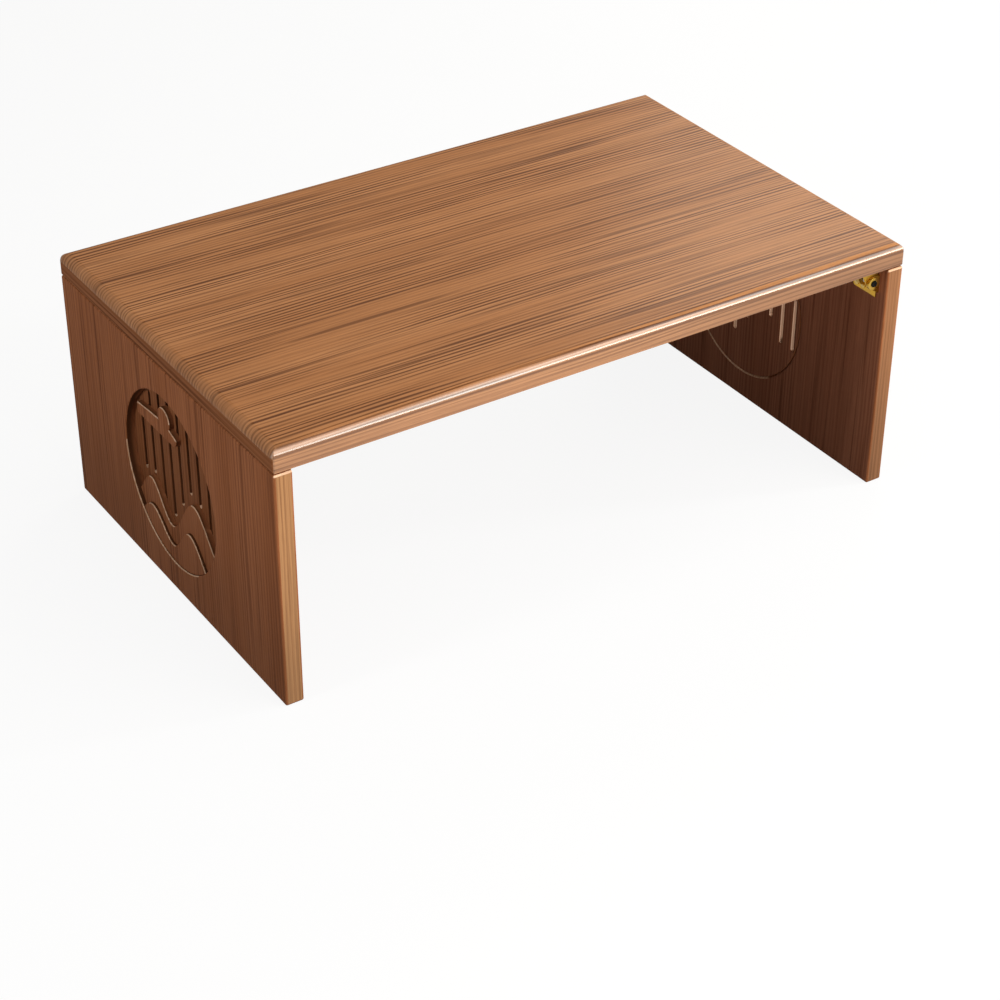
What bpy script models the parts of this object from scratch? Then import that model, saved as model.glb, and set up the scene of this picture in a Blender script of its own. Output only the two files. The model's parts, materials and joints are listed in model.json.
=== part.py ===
"""Folding floor table: a board top on two board legs that fold inwards on four locking hinges.

Frame: metres, +X to the right along the table's length, -Y to the front, +Z up.
The origin is on the floor, under the middle of the top.

A hinge is drawn in its own directions: from its pivot line e outwards to the table's end and z up,
and from its outer cheek v towards the middle of the table.
"""
import math

import bmesh
import bpy
from mathutils import Matrix, Vector

MM = 0.001
SMOOTH_ANGLE = math.radians(35)
MERGE_DISTANCE = 0.001 * MM

# Table
TABLE_LENGTH = 900 * MM
TABLE_DEPTH = 550 * MM
TABLE_HEIGHT = 350 * MM
TOP_THICKNESS = 30 * MM
LEG_THICKNESS = 24 * MM
TOP_TO_LEG_GAP = 2 * MM
CLEARANCE = 0.3 * MM

# Edges of the boards
TOP_CORNER_RADIUS = 4 * MM
TOP_CORNER_STEPS = 4
LEAST_CORNER_RADIUS = 0.5 * MM
TOP_EDGE_RADIUS = 12 * MM
TOP_EDGE_STEPS = 5
TOP_LOWER_CHAMFER = 1.0 * MM
LEG_EDGE_RADIUS = 2.5 * MM
LEG_EDGE_STEPS = 2

# Carved disc in each leg, measured from the disc's centre: u to the front, h up
DISC_RADIUS = 118 * MM
DISC_SIDES = 64
RECESS_DEPTH = 12.5 * MM
BACK_RELIEF_DEPTH = 5.5 * MM
FRONT_RELIEF_DEPTH = 1.5 * MM
RELIEF_INSET = 0.5 * MM
RELIEF_ROOT = 1.0 * MM
WAVE_SAMPLES = 10
BACK_WAVE = ((-116, -72), (-66, -29), (-16, -72), (50, -9), (118, -66))
FRONT_WAVE = ((-112, -98), (-60, -65), (-8, -95), (40, -54), (104, -106))
WAVE_FOOT = -130 * MM
SLOT_WIDTH = 6.5 * MM
SLOT_PITCH = 24.5 * MM
SLOT_SHIFT = 7 * MM
SLOT_RIM = 2.5 * MM
SLOT_END_LEAD = 10 * MM
SLOT_END_RISE = 7 * MM
SLOT_END_STEPS = 6
CLOUD_BASE = 53 * MM
CLOUD_TAIL = 15.3 * MM
CLOUD_BACK = -88 * MM
CLOUD_PUFF_U = -16.3 * MM
CLOUD_PUFF_H = 79 * MM
CLOUD_PUFF_RADIUS = 15.6 * MM
CLOUD_PUFF_START = math.radians(-31)
CLOUD_PUFF_STOP = math.radians(200)
CLOUD_PUFF_STEPS = 12
CLOUD_TIP_U = 3 * MM
CLOUD_TIP_H = 64.5 * MM
CLOUD_TIP_RADIUS = 12.5 * MM
CLOUD_TIP_STEPS = 4

# Hinge
PIVOT_FROM_LEG = 11 * MM
PIVOT_BELOW_TOP = 23 * MM
LEFT_HINGE_SETBACK = 40 * MM
RIGHT_HINGE_SETBACK = 14 * MM
LEAF_WIDTH = 46 * MM
LEAF_THICKNESS = 1.6 * MM
LEAF_CORNER_RADIUS = 3 * MM
LEAF_CORNER_STEPS = 3
TOP_LEAF_REACH = 52 * MM
LEG_LEAF_DROP = 24 * MM
LEG_LEAF_TOP_MARGIN = 2 * MM
LOBE_RADIUS = 8.6 * MM
LOBE_STEPS = 8
TOP_CHEEK_REACH = 20 * MM
LEG_CHEEK_DROP = 16 * MM
CHEEK_SPACE = 12.9 * MM
BUSH_RADIUS = 5.6 * MM
BUSH_FLANGE_RADIUS = 8.5 * MM
BUSH_FLANGE_THICKNESS = 1.5 * MM
BUSH_RIM = 0.5 * MM
ROUND_SIDES = 16

# Lock button: its stem is the hinge pin
BUTTON_RADIUS = 4.2 * MM
BUTTON_PROUD = 1.2 * MM
BUTTON_ROUNDING = 0.8 * MM
COLLAR_RADIUS = 7.4 * MM
COLLAR_THICKNESS = 2.5 * MM
STEM_RADIUS = 2.5 * MM
STEM_TAIL = 0.8 * MM
SPRING_WIRE_RADIUS = 0.45 * MM
SPRING_COIL_RADIUS = 3.8 * MM
SPRING_TURNS = 4
SPRING_POINTS_PER_TURN = 10

# Screws
SCREW_SHANK_RADIUS = 1.7 * MM
SCREW_LENGTH = 14 * MM
SCREW_TIP = 3 * MM
SCREW_HEAD_RADIUS = 3.6 * MM
SCREW_HEAD_HEIGHT = 2.2 * MM
SCREW_HEAD_ROUNDING = 1.3 * MM
SCREW_EDGE = 7 * MM
SCREW_SIDES = 10
CUTTER_EXTRA = 1 * MM

# Places that follow from the sizes above
UNDERSIDE_Z = TABLE_HEIGHT - TOP_THICKNESS
LEG_HEIGHT = UNDERSIDE_Z - TOP_TO_LEG_GAP
PIVOT_X = TABLE_LENGTH / 2 - LEG_THICKNESS - PIVOT_FROM_LEG
PIVOT_Z = UNDERSIDE_Z - PIVOT_BELOW_TOP
DISC_Z = LEG_HEIGHT / 2 - PIVOT_Z
LEG_INNER_E = PIVOT_FROM_LEG
LEG_OUTER_E = PIVOT_FROM_LEG + LEG_THICKNESS

LEG_LEAF_BACK = LEG_INNER_E - CLEARANCE
LEG_LEAF_FACE = LEG_LEAF_BACK - LEAF_THICKNESS
LEG_LEAF_TOP = PIVOT_BELOW_TOP - TOP_TO_LEG_GAP - LEG_LEAF_TOP_MARGIN
TOP_LEAF_BACK = PIVOT_BELOW_TOP - CLEARANCE
TOP_LEAF_FACE = TOP_LEAF_BACK - LEAF_THICKNESS

# The stack of cheeks along the pivot line
OUTER_LEG_CHEEK = 0
OUTER_TOP_CHEEK = OUTER_LEG_CHEEK + LEAF_THICKNESS + CLEARANCE
SPACE_START = OUTER_TOP_CHEEK + LEAF_THICKNESS
INNER_TOP_CHEEK = SPACE_START + CHEEK_SPACE
INNER_LEG_CHEEK = INNER_TOP_CHEEK + LEAF_THICKNESS + CLEARANCE
STACK_END = INNER_LEG_CHEEK + LEAF_THICKNESS

BOTH = (-1, 1)
SIDE_NAME = {-1: "left", 1: "right"}
END_NAME = {-1: "front", 1: "rear"}
HINGE_SETBACK = {-1: LEFT_HINGE_SETBACK, 1: RIGHT_HINGE_SETBACK}


def clear_scene():
    for obj in list(bpy.data.objects):
        bpy.data.objects.remove(obj, do_unlink=True)


def principled(name, colour, roughness, metallic=0.0):
    material = bpy.data.materials.new(name)
    material.use_nodes = True
    shader = material.node_tree.nodes["Principled BSDF"]
    shader.inputs["Base Color"].default_value = (*colour, 1.0)
    shader.inputs["Roughness"].default_value = roughness
    shader.inputs["Metallic"].default_value = metallic
    return material


def link(name, data, parent):
    obj = bpy.data.objects.new(name, data)
    bpy.context.collection.objects.link(obj)
    obj.parent = parent
    return obj


def axis_empty(name, location):
    empty = link(name, None, None)
    empty.location = location
    return empty


def solid(name, bm, material, parent=None, smooth=False):
    """Turn a closed bmesh into a named object, with its faces pointing out."""
    bmesh.ops.recalc_face_normals(bm, faces=bm.faces)
    mesh = bpy.data.meshes.new(name)
    bm.to_mesh(mesh)
    bm.free()
    if smooth:
        mesh.shade_smooth()
        mesh.set_sharp_from_angle(angle=SMOOTH_ANGLE)
    if material:
        mesh.materials.append(material)
    return link(name, mesh, parent)


def as_cutter(obj):
    obj.hide_render = True
    obj.display_type = "WIRE"
    return obj


def combine(obj, other, operation):
    modifier = obj.modifiers.new(f"{operation.lower()}_{other.name}", "BOOLEAN")
    modifier.operation = operation
    modifier.solver = "EXACT"
    modifier.object = other


def box(low, high):
    """A block between two corners."""
    bm = bmesh.new()
    bmesh.ops.create_cube(bm, size=1)
    low = Vector(low)
    high = Vector(high)
    bmesh.ops.scale(bm, vec=high - low, verts=bm.verts)
    bmesh.ops.translate(bm, vec=(low + high) / 2, verts=bm.verts)
    return bm


def prism(outline, depth):
    """A flat outline of 3D points, pushed along the vector depth."""
    bm = bmesh.new()
    face = bm.faces.new([bm.verts.new(point) for point in outline])
    grown = bmesh.ops.extrude_face_region(bm, geom=[face])["geom"]
    moved = [item for item in grown if isinstance(item, bmesh.types.BMVert)]
    bmesh.ops.translate(bm, vec=depth, verts=moved)
    return bm


def turned(profile, sides, closed=False):
    """Turn a profile of (radius, along) points about +Z, which is the direction of along."""
    bm = bmesh.new()
    verts = [bm.verts.new((radius, 0, along)) for radius, along in profile]
    edges = [bm.edges.new(pair) for pair in zip(verts, verts[1:])]
    if closed:
        edges.append(bm.edges.new((verts[-1], verts[0])))
    bmesh.ops.spin(
        bm, geom=verts + edges, cent=(0, 0, 0), axis=(0, 0, 1),
        angle=math.tau, steps=sides, use_merge=True,
    )
    bmesh.ops.remove_doubles(bm, verts=bm.verts, dist=MERGE_DISTANCE)
    return bm


def aim(bm, direction, origin):
    """Lay a turned shape along direction, with its start at origin."""
    turn = Vector((0, 0, 1)).rotation_difference(Vector(direction)).to_matrix().to_4x4()
    bmesh.ops.transform(bm, matrix=Matrix.Translation(origin) @ turn, verts=bm.verts)
    return bm


def arc(centre, radius, start, stop, steps):
    """Points on an arc from angle start to angle stop, in radians."""
    points = []
    for step in range(steps + 1):
        angle = start + (stop - start) * step / steps
        points.append((centre[0] + radius * math.cos(angle), centre[1] + radius * math.sin(angle)))
    return points


# Top board


def rounded_rectangle(inset):
    """The top's plan outline, drawn in by inset, with its corners kept round."""
    radius = max(TOP_CORNER_RADIUS - inset, LEAST_CORNER_RADIUS)
    reach_x = TABLE_LENGTH / 2 - inset - radius
    reach_y = TABLE_DEPTH / 2 - inset - radius
    points = []
    for quarter, (side, end) in enumerate(((1, 1), (-1, 1), (-1, -1), (1, -1))):
        start = quarter * math.pi / 2
        centre = (side * reach_x, end * reach_y)
        points += arc(centre, radius, start, start + math.pi / 2, TOP_CORNER_STEPS)
    return points


def top_edge_profile():
    """The top's edge from its lower face to its upper face, as (inset, height) points."""
    round_start = TABLE_HEIGHT - TOP_EDGE_RADIUS
    profile = [(TOP_LOWER_CHAMFER, UNDERSIDE_Z), (0, UNDERSIDE_Z + TOP_LOWER_CHAMFER)]
    for step in range(TOP_EDGE_STEPS + 1):
        angle = math.pi / 2 * step / TOP_EDGE_STEPS
        inset = TOP_EDGE_RADIUS * (1 - math.cos(angle))
        profile.append((inset, round_start + TOP_EDGE_RADIUS * math.sin(angle)))
    return profile


def make_top(wood):
    bm = bmesh.new()
    rings = []
    for inset, height in top_edge_profile():
        rings.append([bm.verts.new((x, y, height)) for x, y in rounded_rectangle(inset)])
    for below, above in zip(rings, rings[1:]):
        for i in range(len(below)):
            bm.faces.new((below[i - 1], below[i], above[i], above[i - 1]))
    bm.faces.new(rings[0])
    bm.faces.new(rings[-1])
    return solid("top_board", bm, wood)


# Legs and their carved discs


def make_leg(side, wood, axis):
    bm = box(
        (side * LEG_INNER_E, -TABLE_DEPTH / 2, -PIVOT_Z),
        (side * LEG_OUTER_E, TABLE_DEPTH / 2, LEG_HEIGHT - PIVOT_Z),
    )
    bmesh.ops.bevel(
        bm, geom=bm.edges, offset=LEG_EDGE_RADIUS, segments=LEG_EDGE_STEPS, profile=0.5,
        affect="EDGES", material=-1,
    )
    leg = solid(f"{SIDE_NAME[side]}_leg_panel", bm, wood, axis)
    hole = disc_blank(side, DISC_RADIUS, LEG_INNER_E - CUTTER_EXTRA, LEG_OUTER_E + CUTTER_EXTRA)
    combine(leg, as_cutter(solid(f"{leg.name}_round_hole", hole, None, axis)), "DIFFERENCE")
    return leg


def disc_blank(side, radius, start, stop):
    """A round blank across the leg, from e = start to e = stop."""
    outline = arc((0, DISC_Z), radius, 0, math.tau, DISC_SIDES)[:-1]
    points = [(side * start, y, z) for y, z in outline]
    return prism(points, (side * (stop - start), 0, 0))


def wave_height(crests, u):
    """Height of a wave line that swings between its crests and troughs, given in millimetres."""
    for (u0, h0), (u1, h1) in zip(crests, crests[1:]):
        if u0 * MM <= u <= u1 * MM:
            ease = (1 - math.cos(math.pi * (u - u0 * MM) / ((u1 - u0) * MM))) / 2
            return (h0 + (h1 - h0) * ease) * MM
    return (crests[0][1] if u < crests[0][0] * MM else crests[-1][1]) * MM


def wave_outline(crests):
    """The carved field under a wave line."""
    points = []
    for (u0, _), (u1, _) in zip(crests, crests[1:]):
        for step in range(WAVE_SAMPLES):
            u = (u0 + (u1 - u0) * step / WAVE_SAMPLES) * MM
            points.append((u, wave_height(crests, u)))
    last = crests[-1][0] * MM
    points.append((last, wave_height(crests, last)))
    return points + [(last, WAVE_FOOT), (crests[0][0] * MM, WAVE_FOOT)]


def cloud_outline():
    """A flat-based cloud: a long tail to the back, one round puff and a rounded tip to the front."""
    foot = -math.asin((CLOUD_TIP_H - CLOUD_BASE) / CLOUD_TIP_RADIUS)
    tip = arc((CLOUD_TIP_U, CLOUD_TIP_H), CLOUD_TIP_RADIUS, foot, 0, CLOUD_TIP_STEPS)
    puff = arc(
        (CLOUD_PUFF_U, CLOUD_PUFF_H), CLOUD_PUFF_RADIUS,
        CLOUD_PUFF_START, CLOUD_PUFF_STOP, CLOUD_PUFF_STEPS,
    )
    tail = [(CLOUD_BACK, CLOUD_BASE + CLOUD_TAIL), (CLOUD_BACK, CLOUD_BASE)]
    return tip + puff + tail


def slot_outline(u):
    """One upright slot with round ends, from above the back waves up to the disc's rim."""
    half = SLOT_WIDTH / 2
    reach = DISC_RADIUS - SLOT_RIM
    rim = math.sqrt(reach ** 2 - (abs(u) + half) ** 2)
    wave = wave_height(BACK_WAVE, u + SLOT_END_LEAD) + SLOT_END_RISE
    low = max(wave, -rim) + half
    high = rim - half
    lower = arc((u, low), half, math.pi, math.tau, SLOT_END_STEPS)
    return lower + arc((u, high), half, 0, math.pi, SLOT_END_STEPS)


def slot_places():
    """Slots at one pitch, as far to each side as leaves the rim whole."""
    reach = DISC_RADIUS - SLOT_RIM - SLOT_WIDTH
    first = math.ceil((-reach - SLOT_SHIFT) / SLOT_PITCH)
    last = math.floor((reach - SLOT_SHIFT) / SLOT_PITCH)
    return [SLOT_SHIFT + number * SLOT_PITCH for number in range(first, last + 1)]


def on_disc(side, outline, start, stop):
    """A carved outline of (u, h) points as a prism across the leg, from e = start to e = stop."""
    points = [(side * start, -u, DISC_Z + h) for u, h in outline]
    return prism(points, (side * (stop - start), 0, 0))


def make_disc(side, wood, axis):
    floor = LEG_OUTER_E - RECESS_DEPTH
    radius = DISC_RADIUS - CLEARANCE
    name = f"{SIDE_NAME[side]}_carved_disc"
    disc = solid(name, disc_blank(side, radius, LEG_INNER_E, floor), wood, axis)
    for number, u in enumerate(slot_places()):
        slot = on_disc(side, slot_outline(u), LEG_INNER_E - CUTTER_EXTRA, floor + CUTTER_EXTRA)
        combine(disc, as_cutter(solid(f"{name}_slot_{number}", slot, None, axis)), "DIFFERENCE")

    field = disc_blank(side, radius - RELIEF_INSET, LEG_INNER_E, LEG_OUTER_E)
    field = as_cutter(solid(f"{name}_field", field, None, axis))
    reliefs = {
        "back_waves": (wave_outline(BACK_WAVE), BACK_RELIEF_DEPTH),
        "cloud": (cloud_outline(), BACK_RELIEF_DEPTH),
        "front_waves": (wave_outline(FRONT_WAVE), FRONT_RELIEF_DEPTH),
    }
    for relief, (outline, depth) in reliefs.items():
        shape = on_disc(side, outline, floor - RELIEF_ROOT, LEG_OUTER_E - depth)
        shape = as_cutter(solid(f"{name}_{relief}", shape, None, axis))
        combine(shape, field, "INTERSECT")
        combine(disc, shape, "UNION")
    return disc


# Hinges


class HingePlace:
    """One hinge: which side of the table, which end of the leg, and what its pieces hang on."""

    def __init__(self, side, end, fixed, moving):
        self.side = side
        self.end = end
        self.fixed = fixed
        self.moving = moving
        self.name = f"{SIDE_NAME[side]}_{END_NAME[end]}"
        self.outer_y = end * (TABLE_DEPTH / 2 - HINGE_SETBACK[side])

    def point(self, e, v, z):
        return Vector((self.side * e, self.outer_y - self.end * v, z))

    def direction(self, e, v, z):
        return Vector((self.side * e, -self.end * v, z))

    def block(self, low, high):
        first = self.point(*low)
        second = self.point(*high)
        corners = [sorted(pair) for pair in zip(first, second)]
        return box([pair[0] for pair in corners], [pair[1] for pair in corners])

    def cheek(self, outline, v):
        points = [self.point(e, v, z) for e, z in outline]
        return prism(points, self.direction(0, LEAF_THICKNESS, 0))

    def along_pivot(self, profile, closed=False):
        bm = turned(profile, ROUND_SIDES, closed)
        return aim(bm, self.direction(0, 1, 0), self.point(0, 0, 0))


def tangent_angle(point, turn):
    """Angle on the lobe where a line from the point touches it, on the side that turn gives."""
    distance = math.hypot(*point)
    return math.atan2(point[1], point[0]) + turn * math.acos(LOBE_RADIUS / distance)


def top_cheek_outline():
    root = TOP_LEAF_FACE + LEAF_THICKNESS / 2
    corner = (-TOP_CHEEK_REACH, root)
    touch = tangent_angle(corner, 1) - math.tau
    return [corner, (LOBE_RADIUS, root)] + arc((0, 0), LOBE_RADIUS, 0, touch, LOBE_STEPS)


def leg_cheek_outline():
    root = LEG_LEAF_FACE + LEAF_THICKNESS / 2
    corner = (root, -LEG_CHEEK_DROP)
    touch = tangent_angle(corner, -1) + math.tau
    lobe = arc((0, 0), LOBE_RADIUS, math.pi / 2, touch, LOBE_STEPS)
    return [corner, (root, LOBE_RADIUS)] + lobe


def make_leaf(place, name, plate, outline, cheeks, steel, parent, pivot_hole):
    """A plate with rounded corners on its wing, and two cheeks that stand up to the pivot."""
    bm = place.block(*plate)
    wing_corners = [
        edge for edge in bm.edges
        if abs(edge.calc_length() - LEAF_THICKNESS) < MERGE_DISTANCE
        and all(place.end * (place.outer_y - vert.co.y) > STACK_END for vert in edge.verts)
    ]
    bmesh.ops.bevel(
        bm, geom=wing_corners, offset=LEAF_CORNER_RADIUS, segments=LEAF_CORNER_STEPS,
        profile=0.5, affect="EDGES", material=-1,
    )
    leaf = solid(f"{place.name}_{name}", bm, steel, parent)
    for number, v in enumerate(cheeks):
        cheek = solid(f"{leaf.name}_cheek_{number}", place.cheek(outline, v), None, parent)
        combine(leaf, as_cutter(cheek), "UNION")
    combine(leaf, pivot_hole, "DIFFERENCE")
    return leaf


def make_leaves(place, steel):
    """The leaf under the top and the leaf on the leg, with one pivot hole through both."""
    radius = BUSH_RADIUS + CLEARANCE
    start = OUTER_LEG_CHEEK - CUTTER_EXTRA
    stop = STACK_END + CUTTER_EXTRA
    bore = place.along_pivot([(0, start), (radius, start), (radius, stop), (0, stop)])
    bore = as_cutter(solid(f"{place.name}_pivot_hole", bore, None, place.fixed))
    top_leaf = make_leaf(
        place, "top_leaf",
        ((-TOP_LEAF_REACH, 0, TOP_LEAF_FACE), (LOBE_RADIUS, LEAF_WIDTH, TOP_LEAF_BACK)),
        top_cheek_outline(), (OUTER_TOP_CHEEK, INNER_TOP_CHEEK), steel, place.fixed, bore,
    )
    leg_leaf = make_leaf(
        place, "leg_leaf",
        ((LEG_LEAF_FACE, 0, -LEG_LEAF_DROP), (LEG_LEAF_BACK, LEAF_WIDTH, LEG_LEAF_TOP)),
        leg_cheek_outline(), (OUTER_LEG_CHEEK, INNER_LEG_CHEEK), steel, place.moving, bore,
    )
    return top_leaf, leg_leaf


def make_bushes(place, steel):
    """Flanged tubes that the leaves turn on, one through each pair of cheeks."""
    def bush(name, bore, flange_outer, flange_seat, tube_end):
        rim = BUSH_RIM if flange_seat > flange_outer else -BUSH_RIM
        profile = [
            (bore, flange_outer),
            (BUSH_FLANGE_RADIUS - BUSH_RIM, flange_outer),
            (BUSH_FLANGE_RADIUS, flange_outer + rim),
            (BUSH_FLANGE_RADIUS, flange_seat),
            (BUSH_RADIUS, flange_seat),
            (BUSH_RADIUS, tube_end),
            (bore, tube_end),
        ]
        tube = place.along_pivot(profile, closed=True)
        solid(f"{place.name}_{name}", tube, steel, place.moving, smooth=True)

    seat = OUTER_LEG_CHEEK - CLEARANCE
    bush("outer_bush", BUTTON_RADIUS + CLEARANCE, seat - BUSH_FLANGE_THICKNESS, seat,
         SPACE_START + CLEARANCE)
    seat = STACK_END + CLEARANCE
    bush("inner_bush", STEM_RADIUS + CLEARANCE, seat + BUSH_FLANGE_THICKNESS, seat,
         INNER_TOP_CHEEK - CLEARANCE)


def make_button(place, steel, wire):
    """The lock button with its collar and its long stem, and the spring that pushes it out."""
    face = OUTER_LEG_CHEEK - CLEARANCE - BUSH_FLANGE_THICKNESS - BUTTON_PROUD
    collar = SPACE_START + 2 * CLEARANCE
    collar_end = collar + COLLAR_THICKNESS
    tail = STACK_END + CLEARANCE + BUSH_FLANGE_THICKNESS + STEM_TAIL
    profile = [
        (0, face),
        (BUTTON_RADIUS - BUTTON_ROUNDING, face),
        (BUTTON_RADIUS, face + BUTTON_ROUNDING),
        (BUTTON_RADIUS, collar),
        (COLLAR_RADIUS, collar),
        (COLLAR_RADIUS, collar_end),
        (STEM_RADIUS, collar_end),
        (STEM_RADIUS, tail),
        (0, tail),
    ]
    button = place.along_pivot(profile)
    solid(f"{place.name}_lock_button", button, steel, place.moving, smooth=True)
    make_spring(place, collar_end + CLEARANCE, INNER_TOP_CHEEK - 2 * CLEARANCE, wire)


def make_spring(place, start, stop, steel):
    """A coil round the stem, between the collar and the inner bush."""
    first = start + SPRING_WIRE_RADIUS
    rise = stop - start - 2 * SPRING_WIRE_RADIUS
    count = SPRING_TURNS * SPRING_POINTS_PER_TURN
    points = []
    for number in range(count + 1):
        angle = math.tau * number / SPRING_POINTS_PER_TURN
        e = SPRING_COIL_RADIUS * math.cos(angle)
        z = SPRING_COIL_RADIUS * math.sin(angle)
        points.append(place.point(e, first + rise * number / count, z))
    curve = bpy.data.curves.new(f"{place.name}_button_spring", "CURVE")
    curve.dimensions = "3D"
    curve.bevel_depth = SPRING_WIRE_RADIUS
    curve.bevel_resolution = 1
    curve.use_fill_caps = True
    spline = curve.splines.new("POLY")
    spline.points.add(len(points) - 1)
    for target, point in zip(spline.points, points):
        target.co = (*point, 1)
    curve.materials.append(steel)
    link(curve.name, curve, place.moving)
    apart = SPRING_POINTS_PER_TURN // 2
    least = min(
        (points[i] - points[j]).length
        for i in range(len(points)) for j in range(i + apart, len(points))
    )
    print(f"{curve.name}: least gap to itself {(least - 2 * SPRING_WIRE_RADIUS) / MM:.2f} mm")


def make_screw(name, place, head_seat, into, steel, parent, held):
    """A pan-head screw whose head sits on a leaf, and the hole for it through leaf and board."""
    seat = head_seat - into * CLEARANCE
    profile = [
        (0, -SCREW_HEAD_HEIGHT),
        (SCREW_HEAD_RADIUS - SCREW_HEAD_ROUNDING, -SCREW_HEAD_HEIGHT),
        (SCREW_HEAD_RADIUS, -SCREW_HEAD_HEIGHT + SCREW_HEAD_ROUNDING),
        (SCREW_HEAD_RADIUS, 0),
        (SCREW_SHANK_RADIUS, 0),
        (SCREW_SHANK_RADIUS, SCREW_LENGTH - SCREW_TIP),
        (0, SCREW_LENGTH),
    ]
    screw = aim(turned(profile, SCREW_SIDES), into, seat)
    solid(f"{place.name}_{name}", screw, steel, parent, smooth=True)
    radius = SCREW_SHANK_RADIUS + CLEARANCE
    deep = SCREW_LENGTH + CLEARANCE
    bore = [(0, -CUTTER_EXTRA), (radius, -CUTTER_EXTRA), (radius, deep), (0, deep)]
    bore = aim(turned(bore, SCREW_SIDES), into, seat)
    bore = as_cutter(solid(f"{place.name}_{name}_hole", bore, None, parent))
    for piece in held:
        combine(piece, bore, "DIFFERENCE")


def make_screws(place, top, leg, top_leaf, leg_leaf, steel):
    far = LEAF_WIDTH - SCREW_EDGE
    inner = -TOP_LEAF_REACH + SCREW_EDGE
    outer = LOBE_RADIUS - SCREW_EDGE
    into = place.direction(0, 0, 1)
    places = ((inner, SCREW_EDGE), (inner, far), (outer, far))
    for number, (e, v) in enumerate(places, start=1):
        seat = place.point(e, v, TOP_LEAF_FACE)
        make_screw(f"top_screw_{number}", place, seat, into, steel, place.fixed, (top_leaf, top))

    low = -LEG_LEAF_DROP + SCREW_EDGE
    high = LEG_LEAF_TOP - SCREW_EDGE
    into = place.direction(1, 0, 0)
    places = ((STACK_END + SCREW_EDGE, low), (far, low), (far, high))
    for number, (v, z) in enumerate(places, start=1):
        seat = place.point(LEG_LEAF_FACE, v, z)
        make_screw(f"leg_screw_{number}", place, seat, into, steel, place.moving, (leg_leaf, leg))


def main():
    clear_scene()
    top_wood = principled("top_wood", (0.42, 0.23, 0.11), 0.4)
    leg_wood = principled("leg_wood", (0.33, 0.17, 0.08), 0.45)
    carved_wood = principled("carved_wood", (0.30, 0.15, 0.07), 0.5)
    hinge_steel = principled("hinge_steel", (0.75, 0.50, 0.12), 0.3, 1.0)
    bush_steel = principled("bush_steel", (0.78, 0.55, 0.18), 0.25, 1.0)
    button_steel = principled("button_steel", (0.06, 0.055, 0.05), 0.4, 0.6)
    spring_steel = principled("spring_steel", (0.55, 0.55, 0.56), 0.3, 1.0)
    screw_steel = principled("screw_steel", (0.72, 0.52, 0.20), 0.35, 1.0)

    top = make_top(top_wood)
    for side in BOTH:
        pivot = (side * PIVOT_X, 0, PIVOT_Z)
        fixed = axis_empty(f"{SIDE_NAME[side]}_hinge_line", pivot)
        moving = axis_empty(f"{SIDE_NAME[side]}_leg_fold_axis", pivot)
        leg = make_leg(side, leg_wood, moving)
        make_disc(side, carved_wood, moving)
        for end in BOTH:
            place = HingePlace(side, end, fixed, moving)
            top_leaf, leg_leaf = make_leaves(place, hinge_steel)
            make_bushes(place, bush_steel)
            make_button(place, button_steel, spring_steel)
            make_screws(place, top, leg, top_leaf, leg_leaf, screw_steel)


main()
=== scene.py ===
"""The finished look of the folding floor table: its boards, carved discs and plated hinges.

Metres, +X along the table, -Y to the front, +Z up, the origin on the floor under the middle.
A hinge is measured from its pivot line: e out to the table's end, v in from the board's edge, z up.
"""
import json
import math

import bmesh
import bpy
from mathutils import Matrix, Vector


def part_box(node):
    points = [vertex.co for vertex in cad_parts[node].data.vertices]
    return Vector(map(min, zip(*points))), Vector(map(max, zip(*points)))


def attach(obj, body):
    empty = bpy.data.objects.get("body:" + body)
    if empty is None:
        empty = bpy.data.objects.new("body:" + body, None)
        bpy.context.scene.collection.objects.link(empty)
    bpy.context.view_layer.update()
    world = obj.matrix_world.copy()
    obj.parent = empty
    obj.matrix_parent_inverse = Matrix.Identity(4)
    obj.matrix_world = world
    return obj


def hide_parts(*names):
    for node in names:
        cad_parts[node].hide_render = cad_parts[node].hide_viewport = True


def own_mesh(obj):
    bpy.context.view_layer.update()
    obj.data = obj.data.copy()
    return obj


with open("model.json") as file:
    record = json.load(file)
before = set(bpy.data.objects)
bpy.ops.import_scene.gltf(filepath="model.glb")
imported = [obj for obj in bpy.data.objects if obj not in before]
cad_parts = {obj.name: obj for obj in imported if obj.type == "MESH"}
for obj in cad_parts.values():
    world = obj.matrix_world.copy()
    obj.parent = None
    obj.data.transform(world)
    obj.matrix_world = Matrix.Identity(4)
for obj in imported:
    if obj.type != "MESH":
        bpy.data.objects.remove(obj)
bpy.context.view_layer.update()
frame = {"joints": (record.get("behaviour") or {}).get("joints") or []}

MM = 0.001
TINY = 0.01 * MM
CLEARANCE = 0.3 * MM
SIGN = {"left": -1, "right": 1, "front": -1, "rear": 1}
SIDES = ("left", "right")
ENDS = ("front", "rear")
SCREW_NUMBERS = (1, 2, 3)
CREASE = math.radians(40)
SHARP = math.radians(50)
# Places in a point: along the table's own axes, and in a hinge's own e, v and z
X, Y, Z = range(3)
E, V = range(2)
# How far a face's normal reaches along an axis where the face looks that way, and where it is level
FACING = 0.9
LEVEL = 0.999

# Places in the lists of finishes that a piece's faces take
TOP_EDGE, TOP_END, TOP_FRONT, TOP_FLAT = range(4)
# Of these, the rim faces take pale painted highlights, the wall and slot-mouth faces dark painted
# shade, the slot faces a pale painted light and the inner faces a shaded copy of the face's wood
LEG_OUTER, LEG_HIGHLIGHT, LEG_WALL, LEG_EDGE, LEG_INNER = range(5)
DISC_FIELD, DISC_OUTER, DISC_SLOT, DISC_HIGHLIGHT, DISC_WALL, DISC_MOUTH, DISC_INNER = range(7)

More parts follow.
